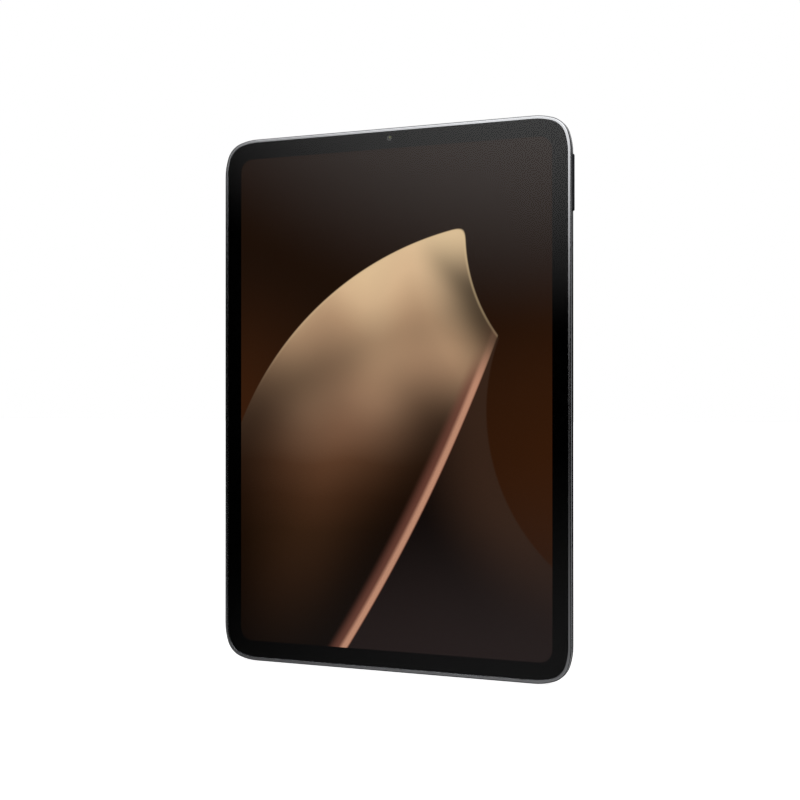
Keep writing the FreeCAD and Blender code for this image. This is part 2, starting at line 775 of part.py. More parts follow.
def sound_meshes():
    """Fine mesh strips that cover the sound holes from inside."""
    strips = []
    half = SOUND_HOLE_PITCH * SOUND_HOLE_COUNT / 2
    for name, middle, top in speaker_places():
        z0, z1 = low_high(from_end(top, cavity_inset), from_end(top, cavity_inset + SOUND_MESH_THICKNESS))
        deep = SOUND_MESH_WIDTH / 2
        strips.append(block(middle - half, middle + half, side_line_y - deep, side_line_y + deep, z0, z1))
    return strips


def mic_can(x, top, grow):
    """Metal can of a microphone behind its hole."""
    near = cavity_inset + PART_GAP
    z0, z1 = low_high(from_end(top, near), from_end(top, near + MIC_THICKNESS))
    return block(
        x - MIC_WIDTH / 2 - grow, x + MIC_WIDTH / 2 + grow,
        side_line_y - MIC_HEIGHT / 2 - grow, side_line_y + MIC_HEIGHT / 2 + grow,
        z0 - grow, z1 + grow,
    )


# ---- keys ----
def key_cap_x(length):
    """Side key with soft outer edges, its face at the proud height."""
    face = side_x + KEY_PROUD
    cap = pill_along_x(length, KEY_WIDTH, slot_wall_x - ROCKER_EAR_GAP, face, side_line_y, rocker_z)
    return cap.makeFillet(KEY_EDGE_RADIUS, edges_on_plane(cap, 0, face))


def volume_rocker():
    """Long key that rocks about its middle: ears keep it in, nubs press the domes."""
    back = slot_wall_x - ROCKER_EAR_GAP
    half = ROCKER_LENGTH / 2 + KEY_EAR
    ears = block(
        back - KEY_EAR_THICKNESS, back, side_line_y - KEY_WIDTH / 2, side_line_y + KEY_WIDTH / 2,
        rocker_z - half, rocker_z + half,
    )
    key = key_cap_x(ROCKER_LENGTH).fuse(ears)
    face = back - KEY_EAR_THICKNESS
    for sign in (-1, 1):
        z = rocker_z + sign * ROCKER_NUB_SPACING / 2
        nub = Part.makeCylinder(NUB_RADIUS, NUB_HEIGHT, vec(face - NUB_HEIGHT, side_line_y, z), vec(1, 0, 0))
        key = key.fuse(nub)
    return key.removeSplitter()


def dome_along(x, y, z, direction):
    """Pressed metal dome: a low cone with a flat top, rising along direction."""
    return Part.makeCone(DOME_RADIUS, NUB_RADIUS, DOME_HEIGHT, vec(x, y, z), direction)


def volume_domes():
    """The two metal domes under the ends of the rocker."""
    base = rocker_dome_x - DOME_HEIGHT
    places = (-ROCKER_NUB_SPACING / 2, ROCKER_NUB_SPACING / 2)
    return [dome_along(base, side_line_y, rocker_z + place, vec(1, 0, 0)) for place in places]


def volume_switch_strip():
    """Flexible strip that carries the volume domes."""
    face = rocker_dome_x - DOME_HEIGHT
    half = ROCKER_LENGTH / 2 + KEY_EAR
    deep = DOME_RADIUS
    return block(
        face - SWITCH_STRIP_THICKNESS, face, side_line_y - deep, side_line_y + deep,
        rocker_z - half, rocker_z + half,
    )


def volume_bracket():
    """Steel strip that backs the volume switches and stands on the back wall."""
    face = rocker_dome_x - DOME_HEIGHT - SWITCH_STRIP_THICKNESS
    half = ROCKER_LENGTH / 2 + KEY_EAR
    return block(
        face - BRACKET_THICKNESS, face, side_line_y - DOME_RADIUS, inner_back_y,
        rocker_z - half, rocker_z + half,
    )


def power_button():
    """Nearly flush key on the top edge that slides straight in."""
    face = top_z + POWER_PROUD
    back = slot_wall_z - POWER_EAR_GAP
    cap = pill_along_z(POWER_LENGTH, KEY_WIDTH, back, face, power_x, side_line_y)
    cap = cap.makeFillet(POWER_PROUD, edges_on_plane(cap, 2, face))
    half = POWER_LENGTH / 2 + KEY_EAR
    ears = block(
        power_x - half, power_x + half, side_line_y - KEY_WIDTH / 2, side_line_y + KEY_WIDTH / 2,
        back - KEY_EAR_THICKNESS, back,
    )
    nub = Part.makeCylinder(
        NUB_RADIUS, NUB_HEIGHT, vec(power_x, side_line_y, back - KEY_EAR_THICKNESS - NUB_HEIGHT)
    )
    return cap.fuse(ears).fuse(nub).removeSplitter()


def power_dome():
    """Metal dome under the power key."""
    return dome_along(power_x, side_line_y, power_dome_z - DOME_HEIGHT, vec(0, 0, 1))


def power_switch_strip():
    """Flexible strip that carries the power dome."""
    face = power_dome_z - DOME_HEIGHT
    half = POWER_LENGTH / 2
    return block(
        power_x - half, power_x + half, side_line_y - DOME_RADIUS, side_line_y + DOME_RADIUS,
        face - SWITCH_STRIP_THICKNESS, face,
    )


def power_bracket():
    """Steel strip that backs the power switch and stands on the back wall."""
    face = power_dome_z - DOME_HEIGHT - SWITCH_STRIP_THICKNESS
    half = POWER_LENGTH / 2
    return block(
        power_x - half, power_x + half, side_line_y - DOME_RADIUS, inner_back_y,
        face - BRACKET_THICKNESS, face,
    )


# ---- cameras ----
def front_camera():
    """Front camera module with a short barrel up to the glass."""
    half = FRONT_CAMERA_SIZE / 2
    z = front_camera_z
    tip = print_back_y + FRONT_CAMERA_GAP
    seat = ledge_y + PART_GAP
    module = block(-half, half, seat, inner_back_y - 5 * PART_GAP, z - half, z + half)
    barrel = disc(0, z, FRONT_BARREL_RADIUS, tip, seat)
    bore = disc(0, z, FRONT_LENS_RADIUS, tip - 1, tip + FRONT_LENS_DEPTH)
    return module.fuse(barrel).cut(bore).removeSplitter()


def front_camera_lens():
    """Front lens, slightly domed, in the bore of the barrel."""
    tip = print_back_y + FRONT_CAMERA_GAP
    radius = cap_radius(FRONT_LENS_RADIUS, FRONT_LENS_DOME)
    ball = Part.makeSphere(radius, vec(0, tip + radius, front_camera_z))
    return ball.common(disc(0, front_camera_z, FRONT_LENS_RADIUS, tip - 1, tip + FRONT_LENS_DEPTH))


def light_sensor():
    """Light sensor behind the black print, beside the front camera."""
    half = SENSOR_WIDTH / 2
    top = cavity_top_z - PART_GAP
    return block(
        SENSOR_OFFSET_X - half, SENSOR_OFFSET_X + half, print_back_y + PART_GAP, ledge_y + 6 * PART_GAP,
        top - SENSOR_WIDTH, top,
    )


def camera_island():
    """Raised plate round the rear lens and the flash."""
    half_width = ISLAND_WIDTH / 2
    half_length = ISLAND_LENGTH / 2
    plate = round_slab(
        island_x - half_width, island_x + half_width, island_z - half_length, island_z + half_length,
        ISLAND_WIDTH * ROUND_END, back_y, island_top_y,
    )
    plate = plate.makeFillet(ISLAND_EDGE_RADIUS, edges_on_plane(plate, 1, island_top_y))
    ring = LENS_WINDOW_RADIUS + LENS_RING_WIDTH
    window_back = island_top_y - LENS_WINDOW_THICKNESS
    plate = plate.cut(disc(island_x, lens_z, ring, window_back, island_top_y + 1))
    plate = plate.cut(disc(island_x, lens_z, REAR_BARREL_RADIUS + PART_GAP, back_y - 1, island_top_y + 1))
    return plate.cut(disc(island_x, flash_z, FLASH_RADIUS, back_y - 1, island_top_y + 1))


def lens_ring():
    """Metal ring round the lens window."""
    window_back = island_top_y - LENS_WINDOW_THICKNESS
    top = island_top_y + LENS_RING_RISE
    outer = disc(island_x, lens_z, LENS_WINDOW_RADIUS + LENS_RING_WIDTH, window_back, top)
    outer = outer.makeChamfer(LENS_RING_CHAMFER, edges_on_plane(outer, 1, top))
    return outer.cut(disc(island_x, lens_z, LENS_WINDOW_RADIUS, window_back - 1, top + 1))


def lens_window():
    """Clear window of the rear camera."""
    return disc(island_x, lens_z, LENS_WINDOW_RADIUS, island_top_y - LENS_WINDOW_THICKNESS, island_top_y)


def rear_camera():
    """Rear camera module: square base and a round barrel through the back wall."""
    half = REAR_CAMERA_SIZE / 2
    tip = rear_barrel_tip_y
    base = block(
        island_x - half, island_x + half, inner_front_y, inner_back_y - PART_GAP, lens_z - half, lens_z + half
    )
    barrel = disc(island_x, lens_z, REAR_BARREL_RADIUS, inner_back_y - PART_GAP, tip)
    well = Part.makeCone(
        REAR_LENS_RADIUS, REAR_BARREL_RADIUS - 4 * PART_GAP, tip - rear_lens_seat_y,
        vec(island_x, rear_lens_seat_y, lens_z), vec(0, 1, 0),
    )
    bore = disc(island_x, lens_z, REAR_LENS_RADIUS, rear_lens_seat_y - REAR_LENS_DEPTH, tip)
    return base.fuse(barrel).cut(well).cut(bore)


def rear_camera_lens():
    """Front element of the rear lens, at the bottom of the barrel's cone."""
    radius = cap_radius(REAR_LENS_RADIUS, REAR_LENS_DOME)
    top = rear_lens_seat_y + REAR_LENS_DOME
    rim = disc(island_x, lens_z, REAR_LENS_RADIUS, rear_lens_seat_y - REAR_LENS_DEPTH, top)
    return rim.common(Part.makeSphere(radius, vec(island_x, top - radius, lens_z)))


def flash_led():
    """Lamp of the flash on a small board behind the back wall."""
    half = FLASH_LED_SIZE / 2
    pad = FLASH_RADIUS
    high = FLASH_BOARD_HEIGHT / 2
    lamp = block(
        island_x - half, island_x + half, inner_back_y - PART_GAP, back_y, flash_z - half, flash_z + half
    )
    base = block(
        island_x - pad, island_x + pad, inner_back_y - 4 * PART_GAP, inner_back_y - PART_GAP,
        flash_z - high, flash_z + high,
    )
    return base.fuse(lamp)


def flash_lens():
    """Milky lens over the flash lamp."""
    return disc(island_x, flash_z, FLASH_RADIUS, back_y + PART_GAP, island_top_y)


# ---- radio, magnets, screws ----
def antennas():
    """Antenna carriers near the top strip, left of the camera."""
    carriers = []
    low = cavity_top_z - SPEAKER_HEIGHT
    x0 = ANTENNA_FROM_WALL - cavity_side_x
    x1 = -top_speaker_x - SPEAKER_WIDTH / 2 - 10 * PART_GAP
    carriers.append(block(x0, x1, board_front_y, board_back_y, low, low + ANTENNA_HEIGHT))
    low = END_ROOM - ANTENNA_HEIGHT - PART_GAP
    x0 = bottom_speaker_x + SPEAKER_WIDTH / 2 + 2 * PART_GAP
    x1 = cavity_side_x - ANTENNA_FROM_WALL
    carriers.append(block(x0, x1, board_front_y, board_back_y, low, low + ANTENNA_HEIGHT))
    return carriers


def cover_magnets():
    """Bar magnets along the -X side that hold a cover."""
    magnets = []
    x1 = -board_side_x - PART_GAP
    step = (battery_top_z - END_ROOM) / MAGNETS
    for number in range(MAGNETS):
        z = END_ROOM + step * (number + 0.5)
        magnets.append(
            block(
                x1 - MAGNET_WIDTH, x1, inner_back_y - MAGNET_THICKNESS, inner_back_y,
                z - MAGNET_LENGTH / 2, z + MAGNET_LENGTH / 2,
            )
        )
    return magnets


def screw(x, z):
    """Small machine screw that holds a board down on its boss."""
    head = disc(x, z, SCREW_HEAD_RADIUS, board_front_y - SCREW_HEAD_HEIGHT, board_front_y)
    head = head.makeFillet(SCREW_HEAD_HEIGHT / 2, edges_on_plane(head, 1, board_front_y - SCREW_HEAD_HEIGHT))
    shank = disc(x, z, SCREW_RADIUS, board_front_y, inner_back_y + SCREW_REACH - PART_GAP)
    slot = SCREW_CROSS
    cross = block(
        x - slot, x + slot, board_front_y - SCREW_HEAD_HEIGHT, board_front_y - SCREW_HEAD_HEIGHT / 2,
        z - PART_GAP, z + PART_GAP,
    )
    cross = cross.fuse(
        block(
            x - PART_GAP, x + PART_GAP, board_front_y - SCREW_HEAD_HEIGHT,
            board_front_y - SCREW_HEAD_HEIGHT / 2, z - slot, z + slot,
        )
    )
    return head.fuse(shank).cut(cross)


def build():
    """Makes every piece and writes its file."""
    os.makedirs("parts", exist_ok=True)
    save("rear_housing", rear_housing())
    save("antenna_strips", *antenna_strips())
    save("cover_glass", cover_glass())
    save("border_print", border_print())
    save("edge_glue", edge_glue())
    save("optical_glue", optical_glue())
    save("display_cell", display_cell())
    save("light_guide", light_guide())
    save("led_bar", led_bar())
    save("screen_tray", screen_tray())
    save("mid_plate", mid_plate())
    save("main_board", main_board())
    save("shield_cans", *shield_cans())
    save("processor", processor())
    save("memory_chips", *memory_chips())
    save("thermal_sheet", thermal_sheet())
    save("battery_left_cell", battery_cell(-1))
    save("battery_right_cell", battery_cell(1))
    save("battery_board", battery_board())
    save("main_ribbon", main_ribbon())
    save("display_ribbon", display_ribbon())
    save("port_board", port_board())
    save("port_shell", port_shell())
    save("port_tongue", port_tongue())
    save("port_contacts", *port_contacts())
    for name, middle, top in speaker_places():
        save(name, speaker(middle, top))
    save("sound_meshes", *sound_meshes())
    save("microphones", mic_can(top_mic_x, True, 0), mic_can(BOTTOM_MIC_X, False, 0))
    save("volume_rocker", volume_rocker())
    save("volume_domes", *volume_domes())
    save("volume_switch_strip", volume_switch_strip())
    save("volume_bracket", volume_bracket())
    save("power_button", power_button())
    save("power_dome", power_dome())
    save("power_switch_strip", power_switch_strip())
    save("power_bracket", power_bracket())
    save("front_camera", front_camera())
    save("front_camera_lens", front_camera_lens())
    save("light_sensor", light_sensor())
    save("camera_island", camera_island())
    save("lens_ring", lens_ring())
    save("lens_window", lens_window())
    save("rear_camera", rear_camera())
    save("rear_camera_lens", rear_camera_lens())
    save("flash_led", flash_led())
    save("flash_lens", flash_lens())
    save("antennas", *antennas())
    save("cover_magnets", *cover_magnets())
    save("screws", *[screw(x, z) for x, z in board_screw_places() + port_board_screw_places()])


build()
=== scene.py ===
import functools
import json
import math

import bmesh
import bpy
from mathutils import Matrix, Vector


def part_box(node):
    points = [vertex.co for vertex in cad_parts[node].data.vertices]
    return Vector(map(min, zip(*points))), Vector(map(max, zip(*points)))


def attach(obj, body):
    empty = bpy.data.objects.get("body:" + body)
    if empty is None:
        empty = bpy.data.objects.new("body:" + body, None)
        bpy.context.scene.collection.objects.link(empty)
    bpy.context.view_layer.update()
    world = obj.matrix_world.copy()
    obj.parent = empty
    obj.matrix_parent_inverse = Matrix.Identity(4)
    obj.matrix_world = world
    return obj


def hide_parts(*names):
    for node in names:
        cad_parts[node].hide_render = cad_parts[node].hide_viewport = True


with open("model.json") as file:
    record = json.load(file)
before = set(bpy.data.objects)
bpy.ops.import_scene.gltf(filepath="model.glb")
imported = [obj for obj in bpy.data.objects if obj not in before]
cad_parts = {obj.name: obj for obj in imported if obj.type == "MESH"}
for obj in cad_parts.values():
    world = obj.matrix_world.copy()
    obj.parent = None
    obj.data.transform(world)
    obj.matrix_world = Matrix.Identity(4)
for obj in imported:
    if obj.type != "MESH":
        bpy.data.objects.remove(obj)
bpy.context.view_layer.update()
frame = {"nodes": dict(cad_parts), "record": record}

nodes = frame["nodes"]

MM = 0.001
ROOT_BODY = "tablet"
MERGE = 0.0005 * MM
CUT_REACH = 0.0001 * MM
TURN_STEPS = 96
DOME_STEPS = 10

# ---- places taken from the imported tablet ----
glass_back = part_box("cover_glass")[1].y
cell_low, cell_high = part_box("display_cell")
screen_middle = sum(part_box("display_cell"), Vector()) / 2
window_middle = sum(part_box("lens_window"), Vector()) / 2
flash_low, flash_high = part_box("flash_lens")
rear_lens_low, rear_lens_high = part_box("rear_camera_lens")


# ---- helpers ----
def linear(hex_colour):
    """Linear colour of an sRGB hex value."""
    channels = []
    for start in (1, 3, 5):
        value = int(hex_colour[start:start + 2], 16) / 255
        channels.append(value / 12.92 if value <= 0.04045 else ((value + 0.055) / 1.055) ** 2.4)
    return (*channels, 1.0)


def add(tree, kind, inputs=(), stops=(), **settings):
    """Adds a node with its settings; each input is a value, a node or a socket."""
    made = tree.nodes.new("ShaderNode" + kind)
    for name, value in settings.items():
        setattr(made, name, value)
    for number, (place, colour) in enumerate(stops):
        ramp = made.color_ramp.elements
        stop = ramp[number] if number < 2 else ramp.new(place)
        stop.position = place
        stop.color = linear(colour)
    for key, value in inputs.items() if isinstance(inputs, dict) else enumerate(inputs):
        if isinstance(value, bpy.types.Node):
            value = value.outputs[0]
        if isinstance(value, bpy.types.NodeSocket):
            tree.links.new(value, made.inputs[key])
        else:
            made.inputs[key].default_value = value
    return made


def start_material(name, plain=()):
    """Material with one Principled shader; plain holds the values of its own sockets."""
    made = bpy.data.materials.new(name)
    made.use_nodes = True
    shader = made.node_tree.nodes["Principled BSDF"]
    for socket, value in dict(plain).items():
        shader.inputs[socket].default_value = linear(value) if isinstance(value, str) else value
    return made, made.node_tree, shader


def finish(name, shades, roughness, relief_mm, pattern, plain=()):
    """Material whose colour, gloss and relief all follow one pattern that runs from 0 to 1."""
    made, tree, shader = start_material(name, plain)
    put = functools.partial(add, tree)
    share = pattern(put)
    colour = put("ValToRGB", [share], stops=[(0.0, shades[0]), (1.0, shades[1])])
    gloss = put("MapRange", {"Value": share, "To Min": roughness[0], "To Max": roughness[1]})
    bump = put("Bump", {"Distance": relief_mm * MM, "Height": share})
    for socket, node in (("Base Color", colour), ("Roughness", gloss), ("Normal", bump)):
        tree.links.new(node.outputs[0], shader.inputs[socket])
    return made


def per_mm(size):
    """Texture scale for a pattern whose cells are this many millimetres."""
    return 1 / (size * MM)


def paint(material, *names):
    """Gives CAD nodes a material."""
    for name in names:
        slots = nodes[name].data.materials
        slots.clear()
        slots.append(material)


def finish_piece(shape, name, material, stands_for=(), smooth=True):
    """Turns a bmesh into a piece of the tablet."""
    mesh = bpy.data.meshes.new(name)
    shape.to_mesh(mesh)
    shape.free()
    mesh.materials.append(material)
    for face in mesh.polygons:
        face.use_smooth = smooth
    piece = bpy.data.objects.new(name, mesh)
    bpy.context.scene.collection.objects.link(piece)
    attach(piece, ROOT_BODY)
    if stands_for:
        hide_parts(*stands_for)


# ---- patterns, each a share from 0 to 1 ----
def grain(put, size_mm, stretch=(1, 1, 1), detail=3.0):
    """Fine grain with a faint, much wider cloud over it."""
    place = put("VectorMath", [put("TexCoord").outputs["Object"], stretch], operation="MULTIPLY")
    cloud_width = 30
    cloud_share = 0.2
    fine = put("TexNoise", {"Vector": place, "Scale": per_mm(size_mm), "Detail": detail})
    cloud = put("TexNoise", {"Vector": place, "Scale": per_mm(size_mm * cloud_width), "Detail": 2.0})
    mixed = put("Math", [cloud, cloud_share, fine], operation="MULTIPLY_ADD")
    return put("MapRange", {"Value": mixed, "From Min": 0.3, "From Max": 0.9})


def rings(put, middle, pitch_mm):
    """Rings round an axis along Y."""
    away = put("VectorMath", [put("TexCoord").outputs["Object"], middle], operation="SUBTRACT")
    flat = put("VectorMath", [away, (1, 0, 1)], operation="MULTIPLY")
    radius = put("VectorMath", [flat], operation="LENGTH").outputs["Value"]
    turns = put("Math", [radius, 2 * math.pi * per_mm(pitch_mm)], operation="MULTIPLY")
    wave = put("Math", [turns], operation="SINE")
    return put("MapRange", {"Value": wave, "From Min": -1.0})


def weave(put, pitch_mm, axes):
    """Threads that pass over and under each other along two axes."""
    parts = put("SeparateXYZ", [put("TexCoord").outputs["Object"]])
    waves = []
    for axis in axes:
        turns = put("Math", [parts.outputs[axis], math.pi * per_mm(pitch_mm)], operation="MULTIPLY")
        waves.append(put("Math", [turns], operation="SINE"))
    crossing = put("Math", waves, operation="MULTIPLY")
    return put("MapRange", {"Value": crossing, "From Min": -1.0})


def tracks(put, pitch_mm, axis, wander_mm=0.0):
    """Parallel copper tracks under a film, straight or wandering."""
    where = put("TexCoord").outputs["Object"]
    parts = put("SeparateXYZ", [where])
    drift_length_mm = 9
    drift = put("TexNoise", {"Vector": where, "Scale": per_mm(drift_length_mm), "Detail": 0.0})
    moved = put("Math", [drift, wander_mm * MM, parts.outputs[axis]], operation="MULTIPLY_ADD")
    turns = put("Math", [moved, 2 * math.pi * per_mm(pitch_mm)], operation="MULTIPLY")
    wave = put("Math", [turns], operation="SINE")
    return put("MapRange", {"Value": wave, "From Min": -0.25, "From Max": 0.25})


def dots(put, pitch_mm):
    """Round dots on an uneven grid."""
    where = put("TexCoord").outputs["Object"]
    cells = put("TexVoronoi", {"Vector": where, "Scale": per_mm(pitch_mm), "Randomness": 0.35})
    return put("MapRange", {"Value": cells, "From Min": 0.25, "From Max": 0.4})


# ---- metals ----
def blasted_aluminium(name, dark, light, roughness):
    """Bead-blasted and dyed anodised aluminium: soft, even gloss with a very fine sparkle."""
    # the blast pits are about 0.1 mm across and are drawn at 0.25 mm so that they show
    pits = functools.partial(grain, size_mm=0.25)
    return finish(name, (dark, light), roughness, 0.0008, pits, {"Metallic": 1.0})


def turned_aluminium(name, dark, light):
    """Lathe-turned and polished aluminium: rings round the lens axis catch the light."""
    cuts = functools.partial(rings, middle=window_middle, pitch_mm=0.12)
    return finish(name, (dark, light), (0.12, 0.2), 0.0008, cuts, {"Metallic": 1.0})


def rolled_sheet(name, dark, light):
    """Rolled sheet metal: faint lines along its rolling direction."""
    lines = functools.partial(grain, size_mm=0.3, stretch=(0.06, 1, 1))
    return finish(name, (dark, light), (0.25, 0.42), 0.002, lines, {"Metallic": 1.0})


def drawn_steel(name, dark, light):
    """Deep-drawn stainless steel: bright, with draw lines into the port."""
    lines = functools.partial(grain, size_mm=0.15, stretch=(1, 1, 0.08))
    return finish(name, (dark, light), (0.18, 0.3), 0.001, lines, {"Metallic": 1.0})


def plated_metal(name, dark, light, roughness):
    """Electroplated metal: bright, with the faint orange peel of the plating."""
    peel = functools.partial(grain, size_mm=0.6, detail=1.0)
    return finish(name, (dark, light), roughness, 0.001, peel, {"Metallic": 1.0})


# ---- plastics, films and boards ----
def moulded_plastic(name, dark, light, roughness):
    """Injection-moulded plastic: even and satin, with the fine texture of the mould."""
    # mould texture of about 0.05 mm, drawn at 0.2 mm so that it shows
    texture = functools.partial(grain, size_mm=0.2)
    return finish(name, (dark, light), roughness, 0.003, texture, {"IOR": 1.5})


def foam_tape():
    """Black acrylic foam tape: dull and open-celled."""
    cells = functools.partial(grain, size_mm=0.12, detail=5.0)
    return finish("black_acrylic_foam", ("#0b0b0b", "#1a1a1a"), (0.8, 0.95), 0.02, cells)


def graphite_film():
    """Pressed graphite film: dark grey, silky, with rolled flakes."""
    flakes = functools.partial(grain, size_mm=0.5, stretch=(0.4, 1, 1))
    return finish("pressed_graphite_film", ("#2a2b2d", "#45474b"), (0.35, 0.5), 0.003, flakes)


def battery_pouch():
    """Laminated aluminium foil pouch: dark satin film with a fine embossed net."""
    net = functools.partial(weave, pitch_mm=0.9, axes=("X", "Z"))
    return finish("laminated_foil_pouch", ("#26272a", "#2f3033"), (0.38, 0.5), 0.006, net)


def copper_ribbon():
    """Polyimide ribbon: amber film that shows its copper tracks."""
    copper = functools.partial(tracks, pitch_mm=0.5, axis="X")
    return finish("polyimide_over_copper", ("#6b3d12", "#a2632b"), (0.3, 0.38), 0.01, copper)


def solder_mask_board():
    """Glass-epoxy board under solder mask: deep green with tracks just proud of it."""
    copper = functools.partial(tracks, pitch_mm=0.8, axis="X", wander_mm=12.0)
    return finish("solder_mask_on_laminate", ("#0c3a2a", "#14523b"), (0.3, 0.4), 0.018, copper)


def light_guide():
    """Clear acrylic light guide with white dots printed on it to let the light out."""
    printed = functools.partial(dots, pitch_mm=1.0)
    return finish("dotted_acrylic_light_guide", ("#ffffff", "#eef2f4"), (0.6, 0.08), 0.004, printed,
                  {"IOR": 1.49, "Transmission Weight": 0.8})


def sound_mesh():
    """Woven acoustic mesh: black threads with a dull shine."""
    # the real mesh has about 0.06 mm between threads and is drawn at 0.2 mm
    threads = functools.partial(weave, pitch_mm=0.2, axes=("X", "Y"))
    return finish("woven_acoustic_mesh", ("#060606", "#2a2a2b"), (0.75, 0.5), 0.05, threads)


def screen_print():
    """Black ceramic ink screen-printed on the back of the glass: deep black with a trace of mesh."""
    mesh = functools.partial(dots, pitch_mm=0.25)
    return finish("screen_printed_black_ink", ("#050505", "#080808"), (0.6, 0.66), 0.002, mesh,
                  {"Specular IOR Level": 0.0})


def milky_polycarbonate():
    """Milky polycarbonate of the flash: cream coloured, half clear."""
    haze = functools.partial(grain, size_mm=0.5)
    return finish("milky_polycarbonate", ("#efe6c8", "#f7f1dd"), (0.2, 0.3), 0.004, haze,
                  {"IOR": 1.58, "Transmission Weight": 0.45})


# ---- glass ----
def clear_glass(name, shades=("#f4f7f8", "#ffffff"), plain=()):
    """Polished alumino-silicate glass: clear, with the faintest clouding from handling."""
    made, tree, shader = start_material(name, {
        "Roughness": 0.0, "IOR": 1.5, "Transmission Weight": 1.0, **dict(plain),
    })
    put = functools.partial(add, tree)
    where = put("TexCoord").outputs["Object"]
    cloud_mm = 35
    haze = put("TexNoise", {"Vector": where, "Scale": per_mm(cloud_mm), "Detail": 3.0})
    tint = put("ValToRGB", [haze], stops=[(0.35, shades[0]), (0.65, shades[1])])
    tree.links.new(tint.outputs[0], shader.inputs["Base Color"])
    return made


def coated_lens_glass():
    """Lens glass under a thin anti-reflection coating, which glints green to violet."""
    coating = {"IOR": 1.62, "Thin Film Thickness": 430.0, "Thin Film IOR": 1.38}
    return clear_glass("coated_lens_glass", ("#e2e8f2", "#eef1f8"), coating)


